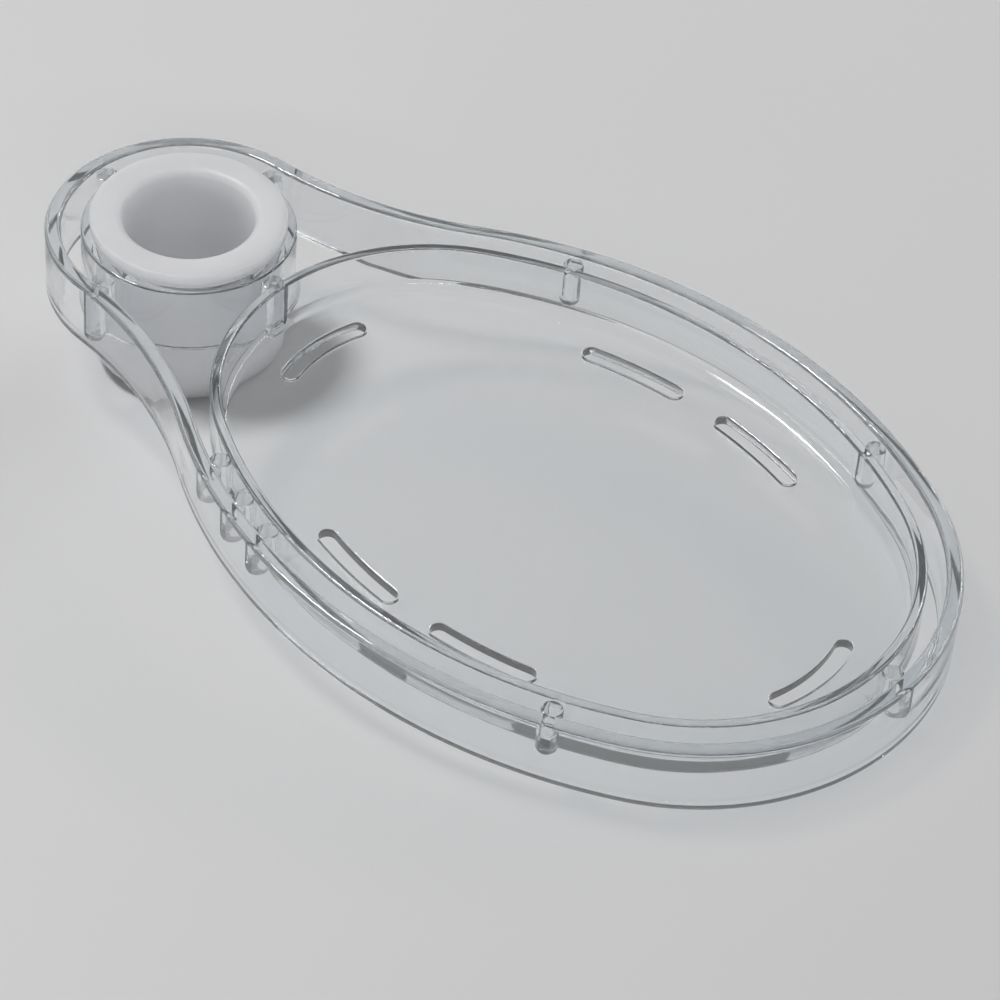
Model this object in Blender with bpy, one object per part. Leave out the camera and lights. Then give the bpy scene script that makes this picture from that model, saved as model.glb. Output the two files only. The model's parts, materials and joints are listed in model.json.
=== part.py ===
"""A clear soap holder that hangs on the riser rail of a shower, in metres.

The tray is one clear moulding: a teardrop wall, an oval dish held inside it by short round posts,
and a collar at the narrow end. A soft milky bush pushes into the collar and grips the rail.

+X runs from the rail to the big end of the dish and +Z runs up along the rail.
The origin is under the middle of the whole holder, level with the foot of the bush.
"""
import math
from collections import namedtuple

import bmesh
import bpy
from mathutils import Vector

# The rail bush
BORE_RADIUS = 0.0122
BORE_LEAD_IN = 0.0006
BUSH_WALL = 0.0051
BUSH_FOOT_ROUND = 0.0016
BUSH_DROP = 0.0138
FLANGE_LIP = 0.0008
FLANGE_THICKNESS = 0.0024
FLANGE_ROUND = 0.0005
FLANGE_SEAT_CLEARANCE = 0.0003

# The collar that the bush pushes into
COLLAR_CLEARANCE = 0.0003
COLLAR_WALL = 0.0022
COLLAR_RIM_ROUND = 0.0004

# The teardrop wall, as four arcs that run into each other on each side
WALL_HEIGHT = 0.0135
OUTER_WALL = 0.0030
NECK_GAP = 0.0036
BLEND_RADIUS = 0.0804
SIDE_RADIUS = 0.1036
END_RADIUS = 0.0477
END_REACH = 0.1194
WALL_RIM_ROUND = 0.0006

# The dish inside it
DISH_GAP = 0.0032
DISH_WALL = 0.0020
DISH_NOSE_GAP = 0.0027
DISH_NOSE_RADIUS = 0.04045
DISH_RIM_ROUND = 0.0005
DISH_RISE = 0.0030
DISH_FLOOR = 0.0020
DISH_FOOT_ROUND = 0.0018
DISH_FILLET = 0.0016

# The drain slots in its floor
SLOT_WIDTH = 0.0030
SLOT_LENGTH = 0.0205
SLOT_INSET = 0.0076
SLOT_CHAMFER = 0.0004
SIDE_SLOT_SPACING = 0.0330

# The round posts that hold collar, dish and wall together
POST_BITE = 0.0003
POST_TOP_DROP = 0.0005
POST_ROUND = 0.0007
NECK_POST_FOOT = 0.0004
DISH_POST_FOOT = 0.0046
SIDE_POST_SPACING = 0.0716
SIDE_POST_DRIFT = 0.0012
END_POST_ASIDE = 0.0030
WAIST_STEP_TO_RAIL = 0.0104
WAIST_STEP_TO_END = 0.0089

# How finely curves are cut into flats, and how far a cutter runs past what it cuts
CHORD_ERROR = 0.00005
CUT_OVERRUN = 0.0020
ROUND_STEPS = 3
SMOOTH_ANGLE = math.radians(35)

# Sizes that follow from the ones above
BUSH_RADIUS = BORE_RADIUS + BUSH_WALL
FLANGE_RADIUS = BUSH_RADIUS + FLANGE_LIP
COLLAR_BORE_RADIUS = BUSH_RADIUS + COLLAR_CLEARANCE
COLLAR_RADIUS = COLLAR_BORE_RADIUS + COLLAR_WALL
NECK_RADIUS = COLLAR_RADIUS + NECK_GAP + OUTER_WALL
HOLDER_LENGTH = NECK_RADIUS + END_REACH + END_RADIUS
RAIL_X = NECK_RADIUS - HOLDER_LENGTH / 2
DISH_INSET = OUTER_WALL + DISH_GAP
DISH_TOP_OF_FLOOR = DISH_RISE + DISH_FLOOR

# One stretch of an outline. side is 1 where the outline bulges and -1 where it is hollow
Arc = namedtuple("Arc", "centre radius start end side")


def clear_scene():
    """Removes whatever the scene holds."""
    for old in list(bpy.data.objects):
        bpy.data.objects.remove(old, do_unlink=True)


def bearing(start, end):
    """The angle at which end lies as seen from start."""
    return math.atan2(end.y - start.y, end.x - start.x)


def mirrored(arcs):
    """The same arcs on the other side of the X axis, in the order that closes the outline."""
    return [
        Arc(Vector((arc.centre.x, -arc.centre.y)), arc.radius, -arc.end, -arc.start, arc.side)
        for arc in reversed(arcs)
    ]


def loop(arcs, inset):
    """The closed outline that lies inset inside the arcs, as points."""
    points = []
    for arc in arcs:
        step = 2 * math.acos(1 - CHORD_ERROR / arc.radius)
        count = max(2, math.ceil(abs(arc.end - arc.start) / step))
        radius = arc.radius - arc.side * inset
        for index in range(count):
            angle = arc.start + (arc.end - arc.start) * index / count
            points.append(arc.centre + radius * Vector((math.cos(angle), math.sin(angle))))
    return points


def circle(radius, centre=Vector((0, 0))):
    """A full circle as one arc."""
    return [Arc(centre, radius, math.pi, -math.pi, 1)]


def meeting(first, from_first, second, from_second, side):
    """The point at given distances from two others, on the left of the line between them or the right."""
    line = second - first
    along = (from_first ** 2 - from_second ** 2 + line.length_squared) / (2 * line.length)
    across = side * math.sqrt(from_first ** 2 - along ** 2)
    forward = line.normalized()
    return first + forward * along + Vector((-forward.y, forward.x)) * across


def nose_centre():
    """The centre of the dish's round nose, which ends close to the collar."""
    return Vector((COLLAR_RADIUS + DISH_NOSE_GAP + DISH_NOSE_RADIUS, 0))


def end_centre():
    """The centre of the round of the big end, for the wall and the dish alike."""
    return Vector((END_REACH, 0))


def side_centre():
    """The centre of the arcs along the +Y side, which run smoothly into the dish's nose and the big end."""
    from_nose = SIDE_RADIUS - DISH_INSET - DISH_NOSE_RADIUS
    from_end = SIDE_RADIUS - END_RADIUS
    return meeting(nose_centre(), from_nose, end_centre(), from_end, -1)


def blend_centre():
    """The centre of the hollow arc that touches the round of the neck and the arc of the side."""
    from_neck = NECK_RADIUS + BLEND_RADIUS
    from_side = SIDE_RADIUS + BLEND_RADIUS
    return meeting(Vector((0, 0)), from_neck, side_centre(), from_side, 1)


def teardrop_arcs():
    """The outside of the teardrop wall."""
    neck = Vector((0, 0))
    end = end_centre()
    side = side_centre()
    blend = blend_centre()
    upper = [
        Arc(neck, NECK_RADIUS, math.pi, bearing(neck, blend), 1),
        Arc(blend, BLEND_RADIUS, bearing(blend, neck), bearing(blend, side), -1),
        Arc(side, SIDE_RADIUS, bearing(side, blend), bearing(side, end), 1),
        Arc(end, END_RADIUS, bearing(side, end), 0, 1),
    ]
    return upper + mirrored(upper)


def dish_arcs():
    """The outside of the dish, which follows the teardrop wall at an even gap."""
    nose = nose_centre()
    end = end_centre()
    side = side_centre()
    upper = [
        Arc(nose, DISH_NOSE_RADIUS, math.pi, bearing(side, nose), 1),
        Arc(side, SIDE_RADIUS - DISH_INSET, bearing(side, nose), bearing(side, end), 1),
        Arc(end, END_RADIUS - DISH_INSET, bearing(side, end), 0, 1),
    ]
    return upper + mirrored(upper)


def slot_arcs(centre, wall_radius, middle):
    """One drain slot that follows a stretch of the dish wall, round the angle called middle."""
    path_radius = wall_radius - DISH_WALL - SLOT_INSET - SLOT_WIDTH / 2
    half_width = SLOT_WIDTH / 2
    half_angle = (SLOT_LENGTH / 2 - half_width) / path_radius
    first = middle + half_angle
    last = middle - half_angle
    first_end = centre + path_radius * Vector((math.cos(first), math.sin(first)))
    last_end = centre + path_radius * Vector((math.cos(last), math.sin(last)))
    return [
        Arc(centre, path_radius + half_width, first, last, 1),
        Arc(last_end, half_width, last, last - math.pi, 1),
        Arc(centre, path_radius - half_width, last, first, -1),
        Arc(first_end, half_width, first + math.pi, first, 1),
    ]


def corner(inset, height, radius, start, steps=ROUND_STEPS):
    """A quarter round of a section, about (inset, height), from the quarter turn called start."""
    turn = math.pi / 2
    angles = [(start + index / steps) * turn for index in range(steps + 1)]
    return [(inset + radius * math.cos(a), height + radius * math.sin(a)) for a in angles]


def wall_section(thickness, bottom, top, rounding):
    """The section of an upright wall whose outer face is at inset zero, with all four edges rounded."""
    inner = thickness - rounding
    return (
        corner(inner, top - rounding, rounding, 0)
        + corner(rounding, top - rounding, rounding, 1)
        + corner(rounding, bottom + rounding, rounding, 2)
        + corner(inner, bottom + rounding, rounding, 3)
    )


def dish_section():
    """The section of the dish from the middle of its underside round its wall to its floor."""
    inner_fillet = corner(DISH_WALL + DISH_FILLET, DISH_TOP_OF_FLOOR + DISH_FILLET, DISH_FILLET, 2)
    return (
        corner(DISH_FOOT_ROUND, DISH_RISE + DISH_FOOT_ROUND, DISH_FOOT_ROUND, 2)[::-1]
        + corner(DISH_RIM_ROUND, WALL_HEIGHT - DISH_RIM_ROUND, DISH_RIM_ROUND, 1)[::-1]
        + corner(DISH_WALL - DISH_RIM_ROUND, WALL_HEIGHT - DISH_RIM_ROUND, DISH_RIM_ROUND, 0)[::-1]
        + inner_fillet
    )


def bush_section():
    """The section of the bush, measured in from the flange's edge and up from the tray's bottom."""
    body = FLANGE_LIP
    bore = FLANGE_LIP + BUSH_WALL
    foot = -BUSH_DROP
    seat = WALL_HEIGHT + FLANGE_SEAT_CLEARANCE
    top = seat + FLANGE_THICKNESS
    return (
        [(bore, foot + BORE_LEAD_IN), (bore, top - BORE_LEAD_IN), (bore - BORE_LEAD_IN, top)]
        + corner(FLANGE_ROUND, top - FLANGE_ROUND, FLANGE_ROUND, 1)
        + corner(FLANGE_ROUND, seat + FLANGE_ROUND, FLANGE_ROUND, 2)
        + [(body, seat)]
        + corner(body + BUSH_FOOT_ROUND, foot + BUSH_FOOT_ROUND, BUSH_FOOT_ROUND, 2)
        + [(bore - BORE_LEAD_IN, foot)]
    )


def loft(name, arcs, section, closed):
    """Carries a section round an outline. A closed section makes a ring, an open one is capped."""
    body = bmesh.new()
    rings = []
    for inset, height in section:
        rings.append([body.verts.new((point.x, point.y, height)) for point in loop(arcs, inset)])
    pairs = list(zip(rings, rings[1:]))
    if closed:
        pairs.append((rings[-1], rings[0]))
    for lower, upper in pairs:
        for index in range(len(lower)):
            after = (index + 1) % len(lower)
            body.faces.new((lower[index], lower[after], upper[after], upper[index]))
    if not closed:
        body.faces.new(rings[0])
        body.faces.new(rings[-1])
    bmesh.ops.recalc_face_normals(body, faces=body.faces)
    mesh = bpy.data.meshes.new(name)
    body.to_mesh(mesh)
    body.free()
    shape = bpy.data.objects.new(name, mesh)
    bpy.context.scene.collection.objects.link(shape)
    return shape


def combine(target, tool, operation):
    """Joins a shape to the target, or cuts it out of it, and takes the shape away."""
    modifier = target.modifiers.new(tool.name, "BOOLEAN")
    modifier.operation = operation
    modifier.object = tool
    with bpy.context.temp_override(object=target, active_object=target):
        bpy.ops.object.modifier_apply(modifier=modifier.name)
    bpy.data.objects.remove(tool, do_unlink=True)


def material(name, colour, roughness, transmission, refraction):
    """A plastic or rubber finish."""
    finish = bpy.data.materials.new(name)
    finish.use_nodes = True
    shader = finish.node_tree.nodes["Principled BSDF"]
    shader.inputs["Base Color"].default_value = (*colour, 1)
    shader.inputs["Roughness"].default_value = roughness
    shader.inputs["Metallic"].default_value = 0
    shader.inputs["Transmission Weight"].default_value = transmission
    shader.inputs["IOR"].default_value = refraction
    return finish


def smooth(shape, finish):
    """Shades the round faces smooth and gives the shape its finish."""
    shape.data.materials.clear()
    shape.data.materials.append(finish)
    shape.data.shade_smooth()
    shape.data.set_sharp_from_angle(angle=SMOOTH_ANGLE)


def post(place, radius, foot):
    """One upright round post with a rounded foot, from foot to just under the rims."""
    top = WALL_HEIGHT - POST_TOP_DROP
    section = corner(POST_ROUND, foot + POST_ROUND, POST_ROUND, 2)[::-1] + [(0, top)]
    return loft("post", circle(radius, place), section, closed=False)


def neck_posts():
    """Four posts round the collar, a quarter turn apart."""
    radius = NECK_GAP / 2 + POST_BITE
    reach = COLLAR_RADIUS + NECK_GAP / 2
    quarters = [(1, 0), (0, 1), (-1, 0), (0, -1)]
    return [post(reach * Vector(quarter), radius, NECK_POST_FOOT) for quarter in quarters]


def gap_point(distance, side):
    """The middle of the gap between wall and dish, at a distance along it from the widest place."""
    radius = SIDE_RADIUS - OUTER_WALL - DISH_GAP / 2
    turn = distance / radius
    point = side_centre() + radius * Vector((math.sin(turn), math.cos(turn)))
    return Vector((point.x, side * point.y))


def dish_posts():
    """Posts that hold the dish in the wall: one at the end, two on each side, two more at the -Y waist.

    All of them sit a little further round the gap, the same way round, than a mirrored pattern would.
    """
    radius = DISH_GAP / 2 + POST_BITE
    half = SIDE_POST_SPACING / 2
    reach = END_RADIUS - OUTER_WALL - DISH_GAP / 2
    turn = END_POST_ASIDE / reach
    places = [end_centre() + reach * Vector((math.cos(turn), math.sin(turn)))]
    for side in (1, -1):
        drift = -side * SIDE_POST_DRIFT
        places += [gap_point(drift - half, side), gap_point(drift + half, side)]
    waist = SIDE_POST_DRIFT - half
    places += [gap_point(waist - WAIST_STEP_TO_RAIL, -1), gap_point(waist + WAIST_STEP_TO_END, -1)]
    return [post(place, radius, DISH_POST_FOOT) for place in places]


def slots():
    """Cutters for the drain slots: one at each end of the dish and two along each side."""
    side = side_centre()
    side_wall = SIDE_RADIUS - DISH_INSET
    outlines = [
        slot_arcs(end_centre(), END_RADIUS - DISH_INSET, 0),
        slot_arcs(nose_centre(), DISH_NOSE_RADIUS, math.pi),
    ]
    turn = SIDE_SLOT_SPACING / 2 / side_wall
    for step in (-turn, turn):
        upper = slot_arcs(side, side_wall, math.pi / 2 + step)
        outlines += [upper, mirrored(upper)]
    section = [
        (0, DISH_RISE - CUT_OVERRUN),
        (0, DISH_TOP_OF_FLOOR - SLOT_CHAMFER),
        (-SLOT_CHAMFER, DISH_TOP_OF_FLOOR),
        (-SLOT_CHAMFER, DISH_TOP_OF_FLOOR + CUT_OVERRUN),
    ]
    return [loft("slot", outline, section, closed=False) for outline in outlines]


def tray():
    """The clear moulding: wall, dish, collar and posts in one, with the drain slots cut out."""
    teardrop_section = wall_section(OUTER_WALL, 0, WALL_HEIGHT, WALL_RIM_ROUND)
    collar_section = wall_section(COLLAR_WALL, 0, WALL_HEIGHT, COLLAR_RIM_ROUND)
    body = loft("tray", teardrop_arcs(), teardrop_section, closed=True)
    collar = loft("collar", circle(COLLAR_RADIUS), collar_section, closed=True)
    dish = loft("dish", dish_arcs(), dish_section(), closed=False)
    for slot in slots():
        combine(dish, slot, "DIFFERENCE")
    for shape in neck_posts():
        combine(collar, shape, "UNION")
    for shape in dish_posts():
        combine(dish, shape, "UNION")
    combine(dish, collar, "UNION")
    combine(body, dish, "UNION")
    smooth(body, material("clear_plastic", (0.93, 0.95, 0.98), 0.04, 1, 1.5))
    return body


def rail_bush():
    """The soft bush: a sleeve with a flange that rests on the collar."""
    body = loft("rail_bush", circle(FLANGE_RADIUS), bush_section(), closed=True)
    smooth(body, material("milky_rubber", (0.80, 0.80, 0.83), 0.45, 0.3, 1.41))
    return body


clear_scene()
for piece in (tray(), rail_bush()):
    piece.location = (RAIL_X, 0, BUSH_DROP)
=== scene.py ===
"""Dresses a clear soap holder for a shower rail: clear moulding, milky bush and a pale studio.

The moulding is modelled as a teardrop wall and a collar swept along their outlines, an oval dish
hung between them and round posts that bridge the gaps. The four are fused into one closed body,
as the real one is moulded in one shot. Lengths are in metres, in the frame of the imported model.
"""

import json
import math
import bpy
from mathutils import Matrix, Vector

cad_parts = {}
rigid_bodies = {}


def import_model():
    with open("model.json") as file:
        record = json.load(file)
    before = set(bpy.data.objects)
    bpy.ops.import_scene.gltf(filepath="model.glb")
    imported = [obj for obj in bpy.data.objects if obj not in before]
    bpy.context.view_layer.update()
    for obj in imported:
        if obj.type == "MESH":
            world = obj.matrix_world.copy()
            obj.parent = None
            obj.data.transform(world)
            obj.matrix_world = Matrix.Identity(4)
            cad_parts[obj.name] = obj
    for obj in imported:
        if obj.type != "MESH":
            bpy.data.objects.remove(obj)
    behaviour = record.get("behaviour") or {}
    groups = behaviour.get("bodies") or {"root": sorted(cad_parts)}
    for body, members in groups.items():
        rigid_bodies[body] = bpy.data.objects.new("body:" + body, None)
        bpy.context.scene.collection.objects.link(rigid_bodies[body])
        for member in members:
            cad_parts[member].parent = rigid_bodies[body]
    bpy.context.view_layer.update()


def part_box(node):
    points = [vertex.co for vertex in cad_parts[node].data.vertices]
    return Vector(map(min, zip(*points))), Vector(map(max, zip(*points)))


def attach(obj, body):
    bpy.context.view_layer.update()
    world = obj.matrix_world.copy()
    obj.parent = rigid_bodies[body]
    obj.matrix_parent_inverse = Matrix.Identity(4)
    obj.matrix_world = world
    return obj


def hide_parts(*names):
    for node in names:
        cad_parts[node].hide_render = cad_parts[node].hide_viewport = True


bl_info = {
    "name": "Rail Soap Holder",
    "version": (1, 0, 0),
    "blender": (4, 5, 0),
    "location": "View3D > Sidebar > Soap Holder",
    "description": "Builds a clear soap holder with its rail bush, materials and studio",
    "category": "Object",
}

from collections import namedtuple

import bmesh
import bpy
from bpy.props import FloatProperty, FloatVectorProperty, IntProperty, PointerProperty
from bpy.types import Operator, Panel, PropertyGroup
from mathutils import Matrix, Vector

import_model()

TRAY_LOW, TRAY_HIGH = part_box("tray")
BUSH_LOW, BUSH_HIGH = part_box("rail_bush")
RAIL_X = (BUSH_LOW.x + BUSH_HIGH.x) / 2
RAIL_FOOT = Vector((RAIL_X, 0, TRAY_LOW.z))
ORIGIN = Vector((0, 0))

SMOOTH_ANGLE = math.radians(28)
FEWEST_FACETS = 4
QUARTER_TURN = math.pi / 2

# One stretch of an outline. side is 1 where the outline bulges and -1 where it is hollow
Arc = namedtuple("Arc", "centre radius start end side")

# A noise pattern: its scale in 1/m, its detail, and how much finer it is along each axis
Pattern = namedtuple("Pattern", "scale detail stretch", defaults=[(1, 1, 1)])
PLASTIC_WEAR = Pattern(900, 3)
PLASTIC_WAVES = Pattern(70, 1)
PLASTIC_FLOW = Pattern(14, 1, (1, 1, 9))
RUBBER_CLOUD = Pattern(160, 3)
RUBBER_SKIN = Pattern(1400, 2)
NOISE_RANGE = (0.3, 0.7)

# How a pattern dents a surface: the strength of the shading and the depth in metres
Relief = namedtuple("Relief", "strength depth")
WAVES_RELIEF = Relief(0.25, 0.0004)
FLOW_RELIEF = Relief(1, 0.00016)
SKIN_RELIEF = Relief(0.15, 0.0001)

# Least and greatest roughness, and the darker tint, as shares of what the finish says
PLASTIC_GLOSS_SHARES = (0.5, 2)
RUBBER_GLOSS_SHARES = (0.85, 1.15)
RUBBER_SHADE_SHARES = (0.96, 0.96, 0.97)

# An area lamp: the setting that holds its power, its place and its size
Lamp = namedtuple("Lamp", "name setting place size")
LAMPS = (
    Lamp("key", "key", (-0.55, -0.1, 0.95), (0.24, 0.24)),
    Lamp("front_strip", "fill", (0.55, -0.75, 0.6), (0.9, 0.05)),
    Lamp("back_strip", "rim", (0.2, 0.85, 0.5), (0.9, 0.045)),
    Lamp("front_low", "low", (-0.12, -0.98, 0.24), (0.6, 0.055)),
)
# Where the pale horizon starts to darken and where it is the sky, as heights on the unit sphere
HORIZON_FADE = (0.05, 0.3)


def length(name, description, default, top=0.3):
    """A size in metres that a user may change."""
    limits = {"min": 0, "max": top, "unit": "LENGTH", "precision": 5}
    return FloatProperty(name=name, description=description, default=default, **limits)


def count(name, description, default, least):
    """A number of facets."""
    return IntProperty(name=name, description=description, default=default, min=least)


def colour(name, description, default):
    """A colour that a user may change."""
    limits = {"size": 3, "min": 0, "max": 1, "subtype": "COLOR"}
    return FloatVectorProperty(name=name, description=description, default=default, **limits)


def share(name, description, default):
    """A plain number from nothing to all."""
    limits = {"min": 0, "max": 1, "subtype": "FACTOR"}
    return FloatProperty(name=name, description=description, default=default, **limits)


def number(name, description, default):
    """A plain number of a finish."""
    return FloatProperty(name=name, description=description, default=default, min=0)


def power(name, description, default):
    """The strength of a lamp."""
    return FloatProperty(name=name, description=description, default=default, min=0, unit="POWER")


def angle(name, description, default):
    """An angle of the camera."""
    return FloatProperty(name=name, description=description, default=default, subtype="ANGLE")


class TraySettings(PropertyGroup):
    """Sizes of the clear moulding."""

    wall_height: length("Wall height", "Height of wall and rims", TRAY_HIGH.z - TRAY_LOW.z)
    outer_wall: length("Outer wall", "Thickness of the teardrop wall", 0.0030)
    wall_round: length("Wall rounding", "Rounding of the teardrop wall's edges", 0.0008)
    neck_radius: length("Neck radius", "Outside of the wall round the collar", RAIL_X - TRAY_LOW.x)
    blend_radius: length("Blend radius", "Hollow arc between neck and side", 0.0804)
    side_radius: length("Side radius", "Arc along each side", 0.1036)
    end_radius: length("End radius", "Round of the big end", 0.0477)
    collar_radius: length("Collar radius", "Outside of the collar", 0.0198)
    collar_wall: length("Collar wall", "Thickness of the collar", 0.0022)
    collar_round: length("Collar rounding", "Rounding of the collar's edges", 0.0005)
    dish_gap: length("Dish gap", "Gap between teardrop wall and dish", 0.0032)
    dish_wall: length("Dish wall", "Thickness of the dish's wall", 0.0020)
    dish_round: length("Dish rim rounding", "Rounding of the dish's rim", 0.0006)
    nose_gap: length("Nose gap", "Gap between collar and dish", 0.0027)
    nose_radius: length("Nose radius", "Round of the dish next to the collar", 0.04045)
    dish_rise: length("Dish rise", "Height of the dish's underside over the wall's foot", 0.0030)
    dish_floor: length("Dish floor", "Thickness of the dish's floor", 0.0020)
    dish_foot_round: length("Dish foot rounding", "Outer rounding under the dish", 0.0018)
    dish_fillet: length("Dish fillet", "Inner rounding between wall and floor", 0.0016)
    support: length("Support", "Width of the flat edge loop beside each rounding", 0.0003)
    chord: length("Chord error", "How far a facet may lie from the true curve", 0.000006)
    round_steps: count("Rounding steps", "Facets of each rounding", 6, 2)


class SlotSettings(PropertyGroup):
    """Sizes of the drain slots in the dish's floor."""

    width: length("Width", "Width of a slot", 0.0030)
    run: length("Length", "Length of a slot along its curve", 0.0205)
    inset: length("Inset", "Distance from the dish's wall", 0.0076)
    lip: length("Lip", "Rounding of a slot's edges", 0.0005)
    spacing: length("Spacing", "Distance between the two slots of one side", 0.0330)
    overrun: length("Overrun", "How far the cutter runs past the floor", 0.0020)


class PostSettings(PropertyGroup):
    """Sizes of the posts that bridge the gaps."""

    bite: length("Bite", "How far a post enters each wall", 0.0003)
    top_drop: length("Top drop", "How far the posts' tops lie under the rims", 0.0005)
    foot_round: length("Foot rounding", "Rounding of a post's foot", 0.0012)
    top_round: length("Top rounding", "Rounding of a post's top edge", 0.0004)
    neck_foot: length("Neck foot", "Height of the collar posts' feet", 0.0004)
    dish_foot: length("Dish foot", "Height of the dish posts' feet", 0.0046)
    spacing: length("Side spacing", "Distance between the two posts of one side", 0.0716)
    step_to_rail: length("Step to rail", "From the waist post to the one nearer the rail", 0.0104)
    step_to_end: length("Step to end", "From the waist post to the one nearer the end", 0.0089)
    drift: length("Drift", "How far the side posts sit round from a mirrored place", 0.0012)
    end_aside: length("End post aside", "How far the end post sits off the middle line", 0.0030)
    sides: count("Sides", "Facets round a post", 40, 8)
    rings: count("Rings", "Rings along a post", 72, 8)


class BushSettings(PropertyGroup):
    """Sizes of the rail bush."""

    bore_radius: length("Bore radius", "Bore that grips the rail", 0.0122)
    lead_in: length("Lead-in", "Rounding at the bore's lower end", 0.0008)
    mouth: length("Mouth", "Rounding at the bore's upper end", 0.0014)
    wall: length("Wall", "Thickness of the sleeve", 0.0051)
    flange_lip: length("Flange lip", "How far the flange stands past the sleeve", 0.0008)
    flange_thickness: length("Flange thickness", "Thickness of the flange", 0.0024)
    flange_round: length("Flange rounding", "Rounding of the flange's edges", 0.00035)
    foot_round: length("Foot rounding", "Rounding of the sleeve's foot", 0.0018)
    flare: length("Foot flare", "How far the foot widens under the collar", 0.0008)
    flare_gap: length("Flare gap", "Height between the collar and the start of the flare", 0.0010)
    round_steps: count("Rounding steps", "Facets of each rounding", 6, 2)


class FinishSettings(PropertyGroup):
    """Colours and gloss of the two materials."""

    plastic: colour("Clear plastic", "Tint of the clear plastic", (0.99, 0.994, 0.998))
    plastic_depth: colour("Plastic depth", "Tint that grows with depth", (0.84, 0.87, 0.885))
    plastic_density: number("Plastic density", "How fast the depth tints light", 75)
    plastic_shade: colour("Plastic shade", "Light that one surface lets by", (0.952, 0.958, 0.963))
    plastic_clarity: share("Plastic clarity", "How much light passes instead of scattering", 0.955)
    plastic_bend: number("Plastic index", "Index of refraction of the plastic", 1.49)
    plastic_gloss: share("Plastic roughness", "Roughness of the moulded surface", 0.012)
    rubber: colour("Milky rubber", "Colour of the bush", (0.68, 0.68, 0.70))
    rubber_depth: length("Rubber depth", "How far light soaks into the bush", 0.022)
    rubber_bend: number("Rubber index", "Index of refraction of the rubber", 1.41)
    rubber_gloss: share("Rubber roughness", "Roughness of the bush", 0.42)


class StageSettings(PropertyGroup):
    """The floor, the lights and the camera."""

    floor: colour("Floor", "Colour of the floor", (0.65, 0.65, 0.655))
    distant: colour("Distance", "Colour that the floor fades into", (0.585, 0.585, 0.59))
    floor_gloss: share("Floor roughness", "Roughness of the floor", 0.55)
    floor_size: length("Floor size", "Half the width of the floor", 4.0, top=20)
    fade_start: length("Fade start", "Where the floor starts to fade", 0.25, top=20)
    fade_end: length("Fade end", "Where the floor is all distance", 0.75, top=20)
    key: power("Key light", "Strength of the key light", 8)
    fill: power("Fill light", "Strength of the strip light in front", 2)
    rim: power("Rim light", "Strength of the strip light behind", 3)
    low: power("Low light", "Strength of the low light in front", 0.9)
    sky: share("Sky", "Strength of the even light all round", 0.09)
    lens: FloatProperty(name="Lens", description="Focal length", default=141.8, unit="CAMERA")
    distance: length("Camera distance", "Distance from the point looked at", 0.6923, top=5)
    azimuth: angle("Azimuth", "Turn of the view", -0.6870)
    elevation: angle("Elevation", "Height of the view", 0.7510)
    roll: angle("Roll", "Roll of the camera", 0.0773)
    aim_reach: length("Aim along", "Point looked at, from the rail towards the big end", 0.0804)
    aim_side: length("Aim aside", "Point looked at, towards the near side", 0.0023)


class SoapHolderSettings(PropertyGroup):
    """Everything that a user may change."""

    tray: PointerProperty(type=TraySettings)
    slots: PointerProperty(type=SlotSettings)
    posts: PointerProperty(type=PostSettings)
    bush: PointerProperty(type=BushSettings)
    finish: PointerProperty(type=FinishSettings)
    stage: PointerProperty(type=StageSettings)


def settings():
    """All the sizes and colours of the scene."""
    return bpy.context.scene.soap_holder


def bearing(start, end):
    """The angle at which end lies as seen from start."""
    return math.atan2(end.y - start.y, end.x - start.x)


def polar(centre, radius, turn):
    """The point at an angle and a distance from a centre."""
    return centre + radius * Vector((math.cos(turn), math.sin(turn)))


def mirrored(arcs):
    """The same arcs on the other side of the X axis, in the order that closes the outline."""
    return [
        Arc(Vector((arc.centre.x, -arc.centre.y)), arc.radius, -arc.end, -arc.start, arc.side)
        for arc in reversed(arcs)
    ]


def loop(arcs, inset):
    """The closed outline that lies inset inside the arcs, as points."""
    chord = settings().tray.chord
    points = []
    for arc in arcs:
        step = 2 * math.acos(1 - chord / arc.radius)
        facets = max(FEWEST_FACETS, math.ceil(abs(arc.end - arc.start) / step))
        radius = arc.radius - arc.side * inset
        for index in range(facets):
            turn = arc.start + (arc.end - arc.start) * index / facets
            points.append(polar(arc.centre, radius, turn))
    return points


def circle(radius):
    """A full circle about the rail as one arc."""
    return [Arc(ORIGIN, radius, math.pi, -math.pi, 1)]


def meeting(first, from_first, second, from_second, side):
    """The point at given distances from two others, left (1) or right (-1) of the line between."""
    line = second - first
    along = (from_first ** 2 - from_second ** 2 + line.length_squared) / (2 * line.length)
    across = side * math.sqrt(from_first ** 2 - along ** 2)
    forward = line.normalized()
    return first + forward * along + Vector((-forward.y, forward.x)) * across


def dish_inset():
    """How far the dish's outside lies inside the teardrop."""
    tray = settings().tray
    return tray.outer_wall + tray.dish_gap


def nose_centre():
    """The centre of the dish's round nose."""
    tray = settings().tray
    return Vector((tray.collar_radius + tray.nose_gap + tray.nose_radius, 0))


def end_centre():
    """The centre of the round of the big end."""
    return Vector((TRAY_HIGH.x - RAIL_X - settings().tray.end_radius, 0))


def side_centre():
    """The centre of the arcs along the +Y side."""
    tray = settings().tray
    from_nose = tray.side_radius - dish_inset() - tray.nose_radius
    return meeting(nose_centre(), from_nose, end_centre(), tray.side_radius - tray.end_radius, -1)


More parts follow.
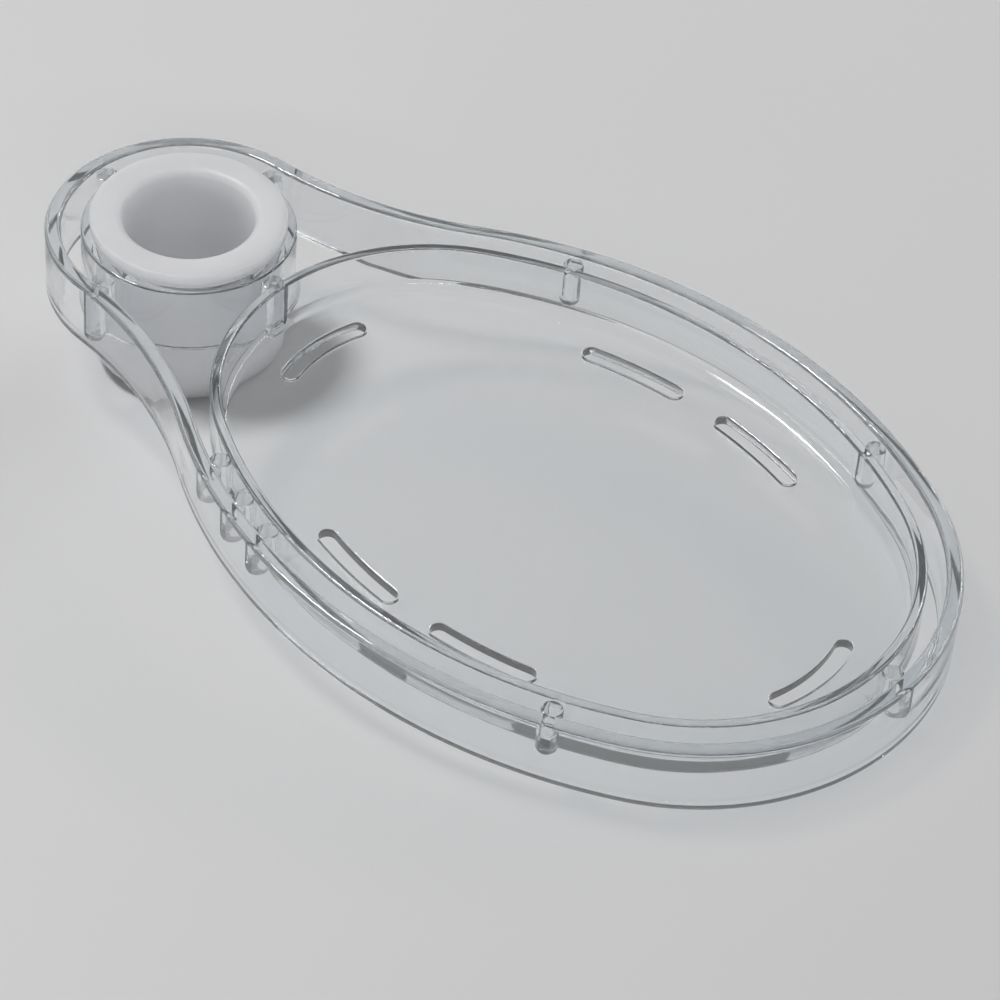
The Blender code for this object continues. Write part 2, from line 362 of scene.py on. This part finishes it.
def teardrop_arcs():
    """The outside of the teardrop wall."""
    tray = settings().tray
    side = side_centre()
    end = end_centre()
    from_neck = tray.neck_radius + tray.blend_radius
    blend = meeting(ORIGIN, from_neck, side, tray.side_radius + tray.blend_radius, 1)
    upper = [
        Arc(ORIGIN, tray.neck_radius, math.pi, bearing(ORIGIN, blend), 1),
        Arc(blend, tray.blend_radius, bearing(blend, ORIGIN), bearing(blend, side), -1),
        Arc(side, tray.side_radius, bearing(side, blend), bearing(side, end), 1),
        Arc(end, tray.end_radius, bearing(side, end), 0, 1),
    ]
    return upper + mirrored(upper)


def dish_arcs():
    """The outside of the dish."""
    tray = settings().tray
    nose = nose_centre()
    side = side_centre()
    end = end_centre()
    upper = [
        Arc(nose, tray.nose_radius, math.pi, bearing(side, nose), 1),
        Arc(side, tray.side_radius - dish_inset(), bearing(side, nose), bearing(side, end), 1),
        Arc(end, tray.end_radius - dish_inset(), bearing(side, end), 0, 1),
    ]
    return upper + mirrored(upper)


def slot_arcs(centre, wall_radius, middle):
    """One drain slot that follows a stretch of the dish's wall, round the angle called middle."""
    slot = settings().slots
    half_width = slot.width / 2
    path = wall_radius - settings().tray.dish_wall - slot.inset - half_width
    half_angle = (slot.run / 2 - half_width) / path
    first = middle + half_angle
    last = middle - half_angle
    return [
        Arc(centre, path + half_width, first, last, 1),
        Arc(polar(centre, path, last), half_width, last, last - math.pi, 1),
        Arc(centre, path - half_width, last, first, -1),
        Arc(polar(centre, path, first), half_width, first + math.pi, first, 1),
    ]


def corner(inset, height, radius, start, steps):
    """A quarter round of a section, about (inset, height), from the quarter turn called start."""
    turns = [(start + index / steps) * QUARTER_TURN for index in range(steps + 1)]
    return [(inset + radius * math.cos(t), height + radius * math.sin(t)) for t in turns]


def new_object(name, mesh):
    """An object in the scene that holds a mesh or a curve."""
    shape = bpy.data.objects.new(name, mesh)
    bpy.context.scene.collection.objects.link(shape)
    return shape


def loft(name, arcs, section, closed):
    """Carries a section round an outline. A closed section makes a ring, an open one is capped."""
    body = bmesh.new()
    rings = []
    for inset, height in section:
        rings.append([body.verts.new((point.x, point.y, height)) for point in loop(arcs, inset)])
    pairs = list(zip(rings, rings[1:]))
    if closed:
        pairs.append((rings[-1], rings[0]))
    for lower, upper in pairs:
        for index in range(len(lower)):
            after = (index + 1) % len(lower)
            body.faces.new((lower[index], lower[after], upper[after], upper[index]))
    if not closed:
        body.faces.new(rings[0])
        body.faces.new(rings[-1])
    bmesh.ops.recalc_face_normals(body, faces=body.faces)
    mesh = bpy.data.meshes.new(name)
    body.to_mesh(mesh)
    body.free()
    return new_object(name, mesh)


def outline_curve(name, arcs):
    """A closed flat curve along the arcs."""
    curve = bpy.data.curves.new(name, "CURVE")
    curve.dimensions = "3D"
    points = loop(arcs, 0)
    spline = curve.splines.new("POLY")
    spline.points.add(len(points) - 1)
    for target, point in zip(spline.points, points):
        target.co = (point.x, point.y, 0, 1)
    spline.use_cyclic_u = True
    return new_object(name, curve)


def new_tree(name, inputs):
    """A Geometry Nodes tree with named inputs, its group input and its group output."""
    tree = bpy.data.node_groups.new(name, "GeometryNodeTree")
    tree.interface.new_socket("Geometry", in_out="OUTPUT", socket_type="NodeSocketGeometry")
    tree.interface.new_socket("Geometry", in_out="INPUT", socket_type="NodeSocketGeometry")
    for label, kind in inputs:
        tree.interface.new_socket(label, in_out="INPUT", socket_type=kind)
    return tree, tree.nodes.new("NodeGroupInput"), tree.nodes.new("NodeGroupOutput")


def math_node(tree, operation, *values):
    """The output of a Math node whose inputs are sockets or plain numbers."""
    node = tree.nodes.new("ShaderNodeMath")
    node.operation = operation
    for socket, value in zip(node.inputs, values):
        if isinstance(value, bpy.types.NodeSocket):
            tree.links.new(value, socket)
        else:
            socket.default_value = value
    return node.outputs[0]


def run_tree(shape, tree, values):
    """Puts a tree on an object with its inputs set, and makes the result a plain mesh object."""
    modifier = shape.modifiers.new(tree.name, "NODES")
    modifier.node_group = tree
    for item in tree.interface.items_tree:
        if item.in_out == "INPUT" and item.name in values:
            modifier[item.identifier] = values[item.name]
    graph = bpy.context.evaluated_depsgraph_get()
    mesh = bpy.data.meshes.new_from_object(shape.evaluated_get(graph))
    name = shape.name
    shape.modifiers.remove(modifier)
    bpy.data.objects.remove(shape, do_unlink=True)
    mesh.name = name
    return new_object(name, mesh)


def swept_wall_tree():
    """Sweeps a rounded upright section, inside an outline, round that outline."""
    inputs = [
        ("Thickness", "NodeSocketFloat"),
        ("Height", "NodeSocketFloat"),
        ("Rounding", "NodeSocketFloat"),
        ("Rounding Steps", "NodeSocketInt"),
        ("Material", "NodeSocketMaterial"),
    ]
    tree, given, result = new_tree("Swept Wall", inputs)
    section = tree.nodes.new("GeometryNodeCurvePrimitiveQuadrilateral")
    rounded = tree.nodes.new("GeometryNodeFilletCurve")
    rounded.mode = "POLY"
    place = tree.nodes.new("GeometryNodeTransform")
    offset = tree.nodes.new("ShaderNodeCombineXYZ")
    level = tree.nodes.new("GeometryNodeSetCurveNormal")
    level.mode = "Z_UP"
    sweep = tree.nodes.new("GeometryNodeCurveToMesh")
    real = tree.nodes.new("GeometryNodeRealizeInstances")
    paint = tree.nodes.new("GeometryNodeSetMaterial")
    link = tree.links.new
    link(given.outputs["Thickness"], section.inputs["Width"])
    link(given.outputs["Height"], section.inputs["Height"])
    link(section.outputs["Curve"], rounded.inputs["Curve"])
    link(given.outputs["Rounding"], rounded.inputs["Radius"])
    link(given.outputs["Rounding Steps"], rounded.inputs["Count"])
    link(rounded.outputs["Curve"], place.inputs["Geometry"])
    link(math_node(tree, "MULTIPLY", given.outputs["Thickness"], 0.5), offset.inputs["X"])
    # The sweep lays the section's Y axis downwards
    link(math_node(tree, "MULTIPLY", given.outputs["Height"], -0.5), offset.inputs["Y"])
    link(offset.outputs["Vector"], place.inputs["Translation"])
    link(given.outputs["Geometry"], level.inputs["Curve"])
    link(level.outputs["Curve"], sweep.inputs["Curve"])
    link(place.outputs["Geometry"], sweep.inputs["Profile Curve"])
    link(sweep.outputs["Mesh"], real.inputs["Geometry"])
    link(real.outputs["Geometry"], paint.inputs["Geometry"])
    link(given.outputs["Material"], paint.inputs["Material"])
    link(paint.outputs["Geometry"], result.inputs["Geometry"])
    return tree


def stored(tree, name, kind):
    """A named attribute of the geometry."""
    node = tree.nodes.new("GeometryNodeInputNamedAttribute")
    node.data_type = kind
    node.inputs["Name"].default_value = name
    return node.outputs["Attribute"]


def end_shrink(tree, height, rounding, radius):
    """How much narrower a post is, as a share, at a height from its rounded foot or top."""
    short = math_node(tree, "SUBTRACT", rounding, height)
    part = math_node(tree, "DIVIDE", math_node(tree, "MAXIMUM", short, 0), rounding)
    square = math_node(tree, "MULTIPLY", part, part)
    rise = math_node(tree, "SQRT", math_node(tree, "SUBTRACT", 1, square))
    loss = math_node(tree, "MULTIPLY", rounding, math_node(tree, "SUBTRACT", 1, rise))
    return math_node(tree, "DIVIDE", loss, radius)


def post_tree():
    """Stands a round post with rounded ends on each point, from the point up to a common height."""
    inputs = [
        ("Top", "NodeSocketFloat"),
        ("Foot Rounding", "NodeSocketFloat"),
        ("Top Rounding", "NodeSocketFloat"),
        ("Sides", "NodeSocketInt"),
        ("Rings", "NodeSocketInt"),
        ("Material", "NodeSocketMaterial"),
    ]
    tree, given, result = new_tree("Bridge Posts", inputs)
    link = tree.links.new
    radius = stored(tree, "radius", "FLOAT")
    centre = stored(tree, "centre", "FLOAT_VECTOR")
    foot = tree.nodes.new("ShaderNodeSeparateXYZ")
    link(centre, foot.inputs["Vector"])
    scale = tree.nodes.new("ShaderNodeCombineXYZ")
    link(radius, scale.inputs["X"])
    link(radius, scale.inputs["Y"])
    link(math_node(tree, "SUBTRACT", given.outputs["Top"], foot.outputs["Z"]), scale.inputs["Z"])
    # A post of radius 1 and height 1, lifted until its foot is on the point
    post = tree.nodes.new("GeometryNodeMeshCylinder")
    post.fill_type = "NGON"
    link(given.outputs["Sides"], post.inputs["Vertices"])
    link(given.outputs["Rings"], post.inputs["Side Segments"])
    post.inputs["Radius"].default_value = 1
    post.inputs["Depth"].default_value = 1
    lift = tree.nodes.new("GeometryNodeTransform")
    lift.inputs["Translation"].default_value = (0, 0, 0.5)
    link(post.outputs["Mesh"], lift.inputs["Geometry"])
    stand = tree.nodes.new("GeometryNodeInstanceOnPoints")
    link(given.outputs["Geometry"], stand.inputs["Points"])
    link(lift.outputs["Geometry"], stand.inputs["Instance"])
    link(scale.outputs["Vector"], stand.inputs["Scale"])
    real = tree.nodes.new("GeometryNodeRealizeInstances")
    link(stand.outputs["Instances"], real.inputs["Geometry"])
    here = tree.nodes.new("GeometryNodeInputPosition")
    split = tree.nodes.new("ShaderNodeSeparateXYZ")
    link(here.outputs["Position"], split.inputs["Vector"])
    above_foot = math_node(tree, "SUBTRACT", split.outputs["Z"], foot.outputs["Z"])
    below_top = math_node(tree, "SUBTRACT", given.outputs["Top"], split.outputs["Z"])
    foot_loss = end_shrink(tree, above_foot, given.outputs["Foot Rounding"], radius)
    top_loss = end_shrink(tree, below_top, given.outputs["Top Rounding"], radius)
    inward = tree.nodes.new("ShaderNodeVectorMath")
    inward.operation = "SUBTRACT"
    link(centre, inward.inputs[0])
    link(here.outputs["Position"], inward.inputs[1])
    flat = tree.nodes.new("ShaderNodeVectorMath")
    flat.operation = "MULTIPLY"
    link(inward.outputs["Vector"], flat.inputs[0])
    flat.inputs[1].default_value = (1, 1, 0)
    shrink = tree.nodes.new("ShaderNodeVectorMath")
    shrink.operation = "SCALE"
    link(flat.outputs["Vector"], shrink.inputs[0])
    link(math_node(tree, "ADD", foot_loss, top_loss), shrink.inputs["Scale"])
    shape = tree.nodes.new("GeometryNodeSetPosition")
    link(real.outputs["Geometry"], shape.inputs["Geometry"])
    link(shrink.outputs["Vector"], shape.inputs["Offset"])
    paint = tree.nodes.new("GeometryNodeSetMaterial")
    link(shape.outputs["Geometry"], paint.inputs["Geometry"])
    link(given.outputs["Material"], paint.inputs["Material"])
    link(paint.outputs["Geometry"], result.inputs["Geometry"])
    return tree


def combine(target, tool, operation):
    """Joins a shape to the target, or cuts it out of it, and takes the shape away."""
    modifier = target.modifiers.new(tool.name, "BOOLEAN")
    modifier.operation = operation
    modifier.object = tool
    apply_modifier(target, modifier)
    bpy.data.objects.remove(tool, do_unlink=True)


def apply_modifier(shape, modifier):
    """Applies one modifier of a shape."""
    with bpy.context.temp_override(object=shape, active_object=shape):
        bpy.ops.object.modifier_apply(modifier=modifier.name)


def settle(shape, finish):
    """Moves a shape to its place by its mesh, shades it smooth and gives it its finish."""
    shape.data.transform(Matrix.Translation(RAIL_FOOT))
    shape.data.materials.clear()
    shape.data.materials.append(finish)
    shape.data.shade_smooth()
    shape.data.set_sharp_from_angle(angle=SMOOTH_ANGLE)
    weighted = shape.modifiers.new("Weighted normals", "WEIGHTED_NORMAL")
    weighted.keep_sharp = True
    apply_modifier(shape, weighted)


def new_material(name):
    """A material and its Principled shader and output."""
    material = bpy.data.materials.new(name)
    material.use_nodes = True
    nodes = material.node_tree.nodes
    return material, nodes["Principled BSDF"], nodes["Material Output"]


def noise(tree, pattern):
    """A noise pattern on the object's own coordinates."""
    where = tree.nodes.new("ShaderNodeTexCoord")
    mapping = tree.nodes.new("ShaderNodeMapping")
    mapping.inputs["Scale"].default_value = pattern.stretch
    texture = tree.nodes.new("ShaderNodeTexNoise")
    texture.inputs["Scale"].default_value = pattern.scale
    texture.inputs["Detail"].default_value = pattern.detail
    tree.links.new(where.outputs["Object"], mapping.inputs["Vector"])
    tree.links.new(mapping.outputs["Vector"], texture.inputs["Vector"])
    return texture.outputs["Fac"]


def remap(tree, value, source, target, interpolation="LINEAR"):
    """Maps a value from one range to another."""
    node = tree.nodes.new("ShaderNodeMapRange")
    node.interpolation_type = interpolation
    names = ("From Min", "From Max", "To Min", "To Max")
    for name, limit in zip(names, (*source, *target)):
        node.inputs[name].default_value = limit
    tree.links.new(value, node.inputs["Value"])
    return node.outputs["Result"]


def uneven_gloss(tree, pattern, gloss, shares):
    """A roughness that varies with a pattern, between two shares of its value."""
    return remap(tree, pattern, NOISE_RANGE, [gloss * part for part in shares])


def bump(tree, height, relief, below=None):
    """A bump from a pattern, on top of another bump if one is given."""
    node = tree.nodes.new("ShaderNodeBump")
    node.inputs["Strength"].default_value = relief.strength
    node.inputs["Distance"].default_value = relief.depth
    tree.links.new(height, node.inputs["Height"])
    if below is not None:
        tree.links.new(below, node.inputs["Normal"])
    return node.outputs["Normal"]


def seen(tree):
    """1 for what is seen, straight, through plastic or mirrored, and 0 for light on a surface."""
    paths = tree.nodes.new("ShaderNodeLightPath").outputs
    straight = math_node(tree, "MAXIMUM", paths["Is Camera Ray"], paths["Is Transmission Ray"])
    return math_node(tree, "MAXIMUM", straight, paths["Is Glossy Ray"])


def clear_plastic():
    """Clear moulded plastic: glossy, with slight flow waves, fine wear and a grey-blue depth."""
    finish = settings().finish
    material, shader, output = new_material("clear_moulding")
    tree = material.node_tree
    link = tree.links.new
    shader.inputs["IOR"].default_value = finish.plastic_bend
    shader.inputs["Transmission Weight"].default_value = finish.plastic_clarity
    shader.inputs["Base Color"].default_value = (*finish.plastic, 1)
    wear = noise(tree, PLASTIC_WEAR)
    gloss = uneven_gloss(tree, wear, finish.plastic_gloss, PLASTIC_GLOSS_SHARES)
    link(gloss, shader.inputs["Roughness"])
    # Broad waves all over, and flow lines that run along the walls
    waves = bump(tree, noise(tree, PLASTIC_WAVES), WAVES_RELIEF)
    flow = bump(tree, noise(tree, PLASTIC_FLOW), FLOW_RELIEF, waves)
    link(flow, shader.inputs["Normal"])
    straight = tree.nodes.new("ShaderNodeBsdfTransparent")
    straight.inputs["Color"].default_value = (*finish.plastic_shade, 1)
    paths = tree.nodes.new("ShaderNodeLightPath")
    surface = shader.outputs["BSDF"]
    # Light that reaches the floor or the bush goes straight through, so that it leaves no grain
    for ray in ("Is Shadow Ray", "Is Diffuse Ray"):
        mix = tree.nodes.new("ShaderNodeMixShader")
        link(paths.outputs[ray], mix.inputs[0])
        link(surface, mix.inputs[1])
        link(straight.outputs["BSDF"], mix.inputs[2])
        surface = mix.outputs[0]
    link(surface, output.inputs["Surface"])
    depth = tree.nodes.new("ShaderNodeVolumeAbsorption")
    depth.inputs["Color"].default_value = (*finish.plastic_depth, 1)
    depth.inputs["Density"].default_value = finish.plastic_density
    link(depth.outputs["Volume"], output.inputs["Volume"])
    return material


def milky_rubber():
    """Milky silicone rubber: light soaks in and comes out soft, under a satin skin."""
    finish = settings().finish
    material, shader, _ = new_material("milky_silicone")
    tree = material.node_tree
    link = tree.links.new
    clouds = tree.nodes.new("ShaderNodeMix")
    clouds.data_type = "RGBA"
    shade = [part * tint for part, tint in zip(RUBBER_SHADE_SHARES, finish.rubber)]
    clouds.inputs["A"].default_value = (*shade, 1)
    clouds.inputs["B"].default_value = (*finish.rubber, 1)
    link(noise(tree, RUBBER_CLOUD), clouds.inputs["Factor"])
    link(clouds.outputs["Result"], shader.inputs["Base Color"])
    shader.inputs["Subsurface Weight"].default_value = 1
    shader.inputs["Subsurface Radius"].default_value = (1, 1, 1)
    shader.inputs["Subsurface Scale"].default_value = finish.rubber_depth
    shader.inputs["IOR"].default_value = finish.rubber_bend
    skin = noise(tree, RUBBER_SKIN)
    gloss = uneven_gloss(tree, skin, finish.rubber_gloss, RUBBER_GLOSS_SHARES)
    link(gloss, shader.inputs["Roughness"])
    link(bump(tree, skin, SKIN_RELIEF), shader.inputs["Normal"])
    return material


def floor_material():
    """A dull pale floor, which fades into an even pale distance."""
    stage = settings().stage
    material, shader, output = new_material("pale_floor")
    tree = material.node_tree
    link = tree.links.new
    shader.inputs["Base Color"].default_value = (*stage.floor, 1)
    shader.inputs["Roughness"].default_value = stage.floor_gloss
    distance = tree.nodes.new("ShaderNodeEmission")
    distance.inputs["Color"].default_value = (*stage.distant, 1)
    where = tree.nodes.new("ShaderNodeTexCoord")
    reach = tree.nodes.new("ShaderNodeVectorMath")
    reach.operation = "LENGTH"
    link(where.outputs["Object"], reach.inputs[0])
    fade = (stage.fade_start, stage.fade_end)
    far = remap(tree, reach.outputs["Value"], fade, (0, 1), "SMOOTHSTEP")
    mix = tree.nodes.new("ShaderNodeMixShader")
    link(math_node(tree, "MULTIPLY", far, seen(tree)), mix.inputs[0])
    link(shader.outputs["BSDF"], mix.inputs[1])
    link(distance.outputs["Emission"], mix.inputs[2])
    link(mix.outputs[0], output.inputs["Surface"])
    return material


class HOLDER_OT_teardrop_wall(Operator):
    """Sweep the teardrop wall and the collar round their outlines"""

    bl_idname = "holder.teardrop_wall"
    bl_label = "Teardrop wall and collar"

    def execute(self, context):
        tray = settings().tray
        tree = swept_wall_tree()
        clear = clear_plastic()
        parts = [
            ("teardrop_wall", teardrop_arcs(), tray.outer_wall, tray.wall_round),
            ("collar", circle(tray.collar_radius), tray.collar_wall, tray.collar_round),
        ]
        for name, arcs, thickness, rounding in parts:
            values = {
                "Thickness": thickness,
                "Height": tray.wall_height,
                "Rounding": rounding,
                "Rounding Steps": tray.round_steps,
                "Material": clear,
            }
            run_tree(outline_curve(name, arcs), tree, values)
        return {"FINISHED"}


class HOLDER_OT_dish(Operator):
    """Loft the oval dish and cut its drain slots"""

    bl_idname = "holder.dish"
    bl_label = "Dish with drain slots"

    def execute(self, context):
        dish = loft("dish", dish_arcs(), self.section(), closed=False)
        for cutter in self.slots():
            combine(dish, cutter, "DIFFERENCE")
        return {"FINISHED"}

    def section(self):
        """From the middle of the underside round the wall to the floor, with support loops."""
        tray = settings().tray
        steps = tray.round_steps
        rim = tray.wall_height - tray.dish_round
        floor = tray.dish_rise + tray.dish_floor
        foot = tray.dish_foot_round
        fillet = tray.dish_fillet
        return (
            [(foot + tray.support, tray.dish_rise)]
            + corner(foot, tray.dish_rise + foot, foot, 2, steps)[::-1]
            + corner(tray.dish_round, rim, tray.dish_round, 1, steps)[::-1]
            + corner(tray.dish_wall - tray.dish_round, rim, tray.dish_round, 0, steps)[::-1]
            + corner(tray.dish_wall + fillet, floor + fillet, fillet, 2, steps)
            + [(tray.dish_wall + fillet + tray.support, floor)]
        )

    def slots(self):
        """Cutters: one at each end of the dish and two along each side."""
        tray = settings().tray
        slot = settings().slots
        side_wall = tray.side_radius - dish_inset()
        outlines = [
            slot_arcs(end_centre(), tray.end_radius - dish_inset(), 0),
            slot_arcs(nose_centre(), tray.nose_radius, math.pi),
        ]
        turn = slot.spacing / 2 / side_wall
        for step in (-turn, turn):
            upper = slot_arcs(side_centre(), side_wall, QUARTER_TURN + step)
            outlines += [upper, mirrored(upper)]
        low = tray.dish_rise
        high = tray.dish_rise + tray.dish_floor
        lip = slot.lip
        steps = tray.round_steps
        section = (
            [(-lip, low - slot.overrun)]
            + corner(-lip, low + lip, lip, -1, steps)
            + corner(-lip, high - lip, lip, 0, steps)
            + [(-lip, high + slot.overrun)]
        )
        return [loft("slot", outline, section, closed=False) for outline in outlines]


class HOLDER_OT_posts(Operator):
    """Stand the bridge posts in the gaps"""

    bl_idname = "holder.posts"
    bl_label = "Bridge posts"

    def execute(self, context):
        tray = settings().tray
        posts = settings().posts
        places = self.neck_places() + self.dish_places()
        mesh = bpy.data.meshes.new("posts")
        mesh.from_pydata([place for place, _ in places], [], [])
        radius = mesh.attributes.new("radius", "FLOAT", "POINT")
        radius.data.foreach_set("value", [value for _, value in places])
        centre = mesh.attributes.new("centre", "FLOAT_VECTOR", "POINT")
        centre.data.foreach_set("vector", [value for place, _ in places for value in place])
        values = {
            "Top": tray.wall_height - posts.top_drop,
            "Foot Rounding": posts.foot_round,
            "Top Rounding": posts.top_round,
            "Sides": posts.sides,
            "Rings": posts.rings,
            "Material": bpy.data.materials["clear_moulding"],
        }
        run_tree(new_object("posts", mesh), post_tree(), values)
        return {"FINISHED"}

    def neck_places(self):
        """Four posts round the collar, a quarter turn apart, with their radius."""
        tray = settings().tray
        posts = settings().posts
        gap = tray.neck_radius - tray.outer_wall - tray.collar_radius
        reach = tray.collar_radius + gap / 2
        radius = gap / 2 + posts.bite
        points = [polar(ORIGIN, reach, quarter * QUARTER_TURN) for quarter in range(4)]
        return [((point.x, point.y, posts.neck_foot), radius) for point in points]

    def dish_places(self):
        """One post at the end, two on each side and two more at the near waist."""
        tray = settings().tray
        posts = settings().posts
        half = posts.spacing / 2
        reach = tray.end_radius - tray.outer_wall - tray.dish_gap / 2
        points = [polar(end_centre(), reach, posts.end_aside / reach)]
        for side in (1, -1):
            drift = -side * posts.drift
            points += [self.gap_point(drift - half, side), self.gap_point(drift + half, side)]
        waist = posts.drift - half
        points.append(self.gap_point(waist - posts.step_to_rail, -1))
        points.append(self.gap_point(waist + posts.step_to_end, -1))
        radius = tray.dish_gap / 2 + posts.bite
        return [((point.x, point.y, posts.dish_foot), radius) for point in points]

    def gap_point(self, distance, side):
        """The middle of the gap between wall and dish, at a distance from the widest place."""
        tray = settings().tray
        radius = tray.side_radius - tray.outer_wall - tray.dish_gap / 2
        turn = distance / radius
        point = side_centre() + radius * Vector((math.sin(turn), math.cos(turn)))
        return Vector((point.x, side * point.y))


class HOLDER_OT_moulding(Operator):
    """Fuse wall, collar, dish and posts into one clear moulding"""

    bl_idname = "holder.moulding"
    bl_label = "Fuse the clear moulding"

    def execute(self, context):
        objects = bpy.data.objects
        body = objects["teardrop_wall"]
        for name in ("collar", "dish", "posts"):
            combine(body, objects[name], "UNION")
        body.name = "clear_tray"
        settle(body, bpy.data.materials["clear_moulding"])
        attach(body, "tray")
        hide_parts("tray")
        return {"FINISHED"}


class HOLDER_OT_bush(Operator):
    """Turn the rail bush"""

    bl_idname = "holder.bush"
    bl_label = "Rail bush"

    def execute(self, context):
        bush = settings().bush
        radius = bush.bore_radius + bush.wall + bush.flange_lip
        body = loft("milky_bush", circle(radius), self.section(), closed=True)
        settle(body, milky_rubber())
        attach(body, "bush")
        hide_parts("rail_bush")
        return {"FINISHED"}

    def section(self):
        """The section, measured in from the flange's edge and up from the moulding's bottom."""
        bush = settings().bush
        steps = bush.round_steps
        body = bush.flange_lip
        bore = bush.flange_lip + bush.wall
        foot = BUSH_LOW.z - TRAY_LOW.z
        top = BUSH_HIGH.z - TRAY_LOW.z
        seat = top - bush.flange_thickness
        lead = bush.lead_in
        edge = bush.flange_round
        heel = body - bush.flare
        return (
            corner(bore - lead, foot + lead, lead, 3, steps)
            + corner(bore - bush.mouth, top - bush.mouth, bush.mouth, 0, steps)
            + corner(edge, top - edge, edge, 1, steps)
            + corner(edge, seat + edge, edge, 2, steps)
            + [(body, seat)]
            + self.flare(body, -bush.flare_gap, heel, foot + bush.foot_round)
            + corner(heel + bush.foot_round, foot + bush.foot_round, bush.foot_round, 2, steps)
        )

    def flare(self, inset, high, heel, low):
        """The sleeve's side under the collar, which widens smoothly down to the foot."""
        steps = settings().bush.round_steps * 2
        points = []
        for index in range(steps):
            part = index / steps
            widened = (1 - math.cos(math.pi * part)) / 2
            points.append((inset + (heel - inset) * widened, high + (low - high) * part))
        return points


class HOLDER_OT_stage(Operator):
    """Lay the floor, set the lights and place the camera"""

    bl_idname = "holder.stage"
    bl_label = "Studio"

    def execute(self, context):
        self.floor()
        self.lights()
        self.sky()
        self.camera()
        context.scene.view_settings.view_transform = "Standard"
        return {"FINISHED"}

    def floor(self):
        """A plain floor under the bush's foot and the big end, on which the holder leans."""
        stage = settings().stage
        low = Vector((BUSH_HIGH.x, 0, BUSH_LOW.z))
        high = Vector((TRAY_HIGH.x, 0, TRAY_LOW.z))
        along = (high - low).normalized() * stage.floor_size
        across = Vector((0, stage.floor_size, 0))
        mesh = bpy.data.meshes.new("floor")
        near = (low - along - across, low + along - across)
        far = (low + along + across, low - along + across)
        mesh.from_pydata([*near, *far], [], [(0, 1, 2, 3)])
        mesh.materials.append(floor_material())
        new_object("floor", mesh)

    def lights(self):
        """The lamps, all turned to the middle of the frame."""
        for lamp in LAMPS:
            light = bpy.data.lights.new(lamp.name, "AREA")
            light.energy = getattr(settings().stage, lamp.setting)
            light.shape = "RECTANGLE"
            light.size, light.size_y = lamp.size
            shape = new_object(lamp.name, light)
            shape.location = lamp.place
            shape.rotation_euler = (-Vector(lamp.place)).to_track_quat("-Z", "Y").to_euler()

    def sky(self):
        """An even dim sky. Its horizon looks pale, but doesn't light the holder."""
        stage = settings().stage
        world = bpy.data.worlds.new("studio")
        world.use_nodes = True
        tree = world.node_tree
        background = tree.nodes["Background"]
        background.inputs["Color"].default_value = (1, 1, 1, 1)
        where = tree.nodes.new("ShaderNodeTexCoord")
        height = tree.nodes.new("ShaderNodeSeparateXYZ")
        tree.links.new(where.outputs["Object"], height.inputs["Vector"])
        over_sky = (stage.distant[0] - stage.sky, 0)
        pale = remap(tree, height.outputs["Z"], HORIZON_FADE, over_sky, "SMOOTHSTEP")
        light = math_node(tree, "ADD", math_node(tree, "MULTIPLY", pale, seen(tree)), stage.sky)
        tree.links.new(light, background.inputs["Strength"])
        bpy.context.scene.world = world

    def camera(self):
        """The camera, level with the floor, so it is rolled against the leaning holder."""
        stage = settings().stage
        turn = stage.azimuth
        fall = stage.elevation
        level = Vector((math.sin(turn), math.cos(turn), 0))
        ahead = level * math.cos(fall) - Vector((0, 0, math.sin(fall)))
        right = Vector((math.cos(turn), -math.sin(turn), 0))
        up = right.cross(ahead)
        rolled_right = math.cos(stage.roll) * right + math.sin(stage.roll) * up
        rolled_up = math.cos(stage.roll) * up - math.sin(stage.roll) * right
        aim = RAIL_FOOT + Vector((stage.aim_reach, -stage.aim_side, 0))
        data = bpy.data.cameras.new("camera")
        data.lens = stage.lens
        camera = new_object("camera", data)
        turned = Matrix((rolled_right, rolled_up, -ahead)).transposed().to_4x4()
        camera.matrix_world = Matrix.Translation(aim - ahead * stage.distance) @ turned
        bpy.context.scene.camera = camera


OPERATORS = (
    HOLDER_OT_teardrop_wall,
    HOLDER_OT_dish,
    HOLDER_OT_posts,
    HOLDER_OT_moulding,
    HOLDER_OT_bush,
    HOLDER_OT_stage,
)


class HOLDER_PT_sidebar(Panel):
    """Lists the steps that build the soap holder."""

    bl_idname = "HOLDER_PT_sidebar"
    bl_label = "Soap Holder"
    bl_space_type = "VIEW_3D"
    bl_region_type = "UI"
    bl_category = "Soap Holder"

    def draw(self, context):
        for step in OPERATORS:
            self.layout.operator(step.bl_idname)


GROUPS = (
    TraySettings,
    SlotSettings,
    PostSettings,
    BushSettings,
    FinishSettings,
    StageSettings,
    SoapHolderSettings,
)


def register():
    """Adds the settings, the operators and the panel to Blender."""
    for kind in (*GROUPS, *OPERATORS, HOLDER_PT_sidebar):
        bpy.utils.register_class(kind)
    bpy.types.Scene.soap_holder = PointerProperty(type=SoapHolderSettings)


def unregister():
    """Takes them out again."""
    del bpy.types.Scene.soap_holder
    for kind in reversed((*GROUPS, *OPERATORS, HOLDER_PT_sidebar)):
        bpy.utils.unregister_class(kind)


def main():
    """Builds the holder and its studio."""
    register()
    bpy.ops.holder.teardrop_wall()
    bpy.ops.holder.dish()
    bpy.ops.holder.posts()
    bpy.ops.holder.moulding()
    bpy.ops.holder.bush()
    bpy.ops.holder.stage()


if __name__ == "__main__":
    main()
